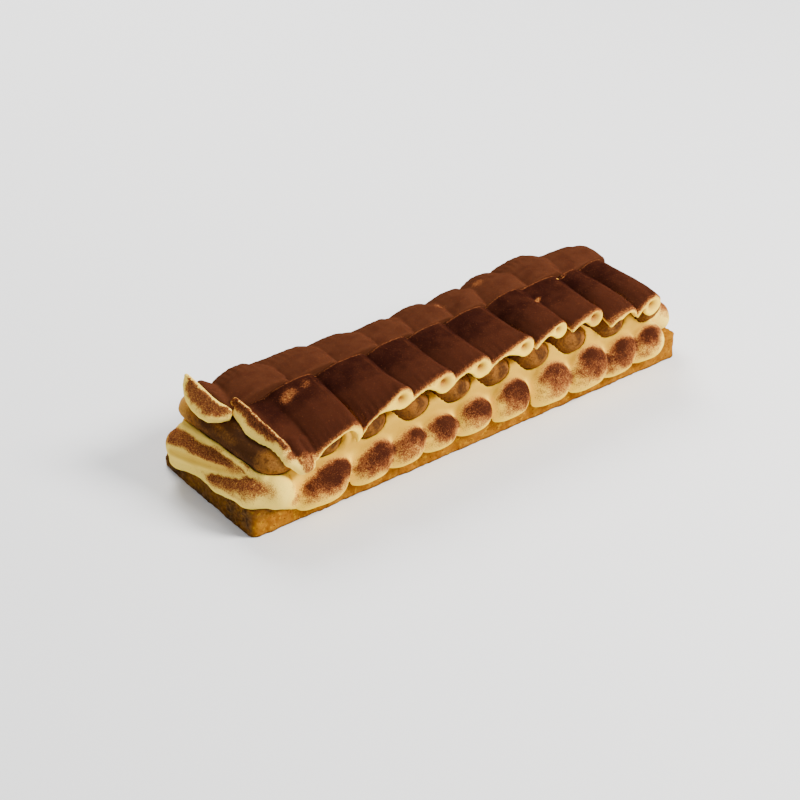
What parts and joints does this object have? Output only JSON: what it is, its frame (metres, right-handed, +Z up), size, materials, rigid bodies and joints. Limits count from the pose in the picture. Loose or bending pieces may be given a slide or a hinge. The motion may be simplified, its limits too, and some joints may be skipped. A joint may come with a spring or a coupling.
{
  "type": "tiramisu bar",
  "caption": "Long tiramisu bar: sponge base, piped mascarpone cream, soaked ladyfingers laid across, and ruffled cream rows under cocoa.",
  "frame": {"origin": "centre of the underside of the bar's bounding box, on the surface it stands on", "axes": "+Z up, +X along the bar's length, -Y the long side that the picture shows, -X the end that the picture shows"},
  "size_m": [0.3522, 0.12, 0.0659],
  "materials": {
    "sponge": "open golden crumb",
    "cream": "soft satin, dusted with cocoa",
    "biscuit": "soaked biscuit, matte",
    "cocoa_cream": "matte cocoa powder over cream"
  },
  "bodies": {
    "root": {"sponge_base": "sponge", "cream_filling": "cream", "ladyfinger_01": "biscuit", "ladyfinger_02": "biscuit", "ladyfinger_03": "biscuit", "ladyfinger_04": "biscuit", "ladyfinger_05": "biscuit", "ladyfinger_06": "biscuit", "ladyfinger_07": "biscuit", "ladyfinger_08": "biscuit", "ladyfinger_09": "biscuit", "ladyfinger_10": "biscuit", "cream_ruffle_front": "cocoa_cream", "cream_ruffle_back": "cocoa_cream"}
  },
  "joints": []
}
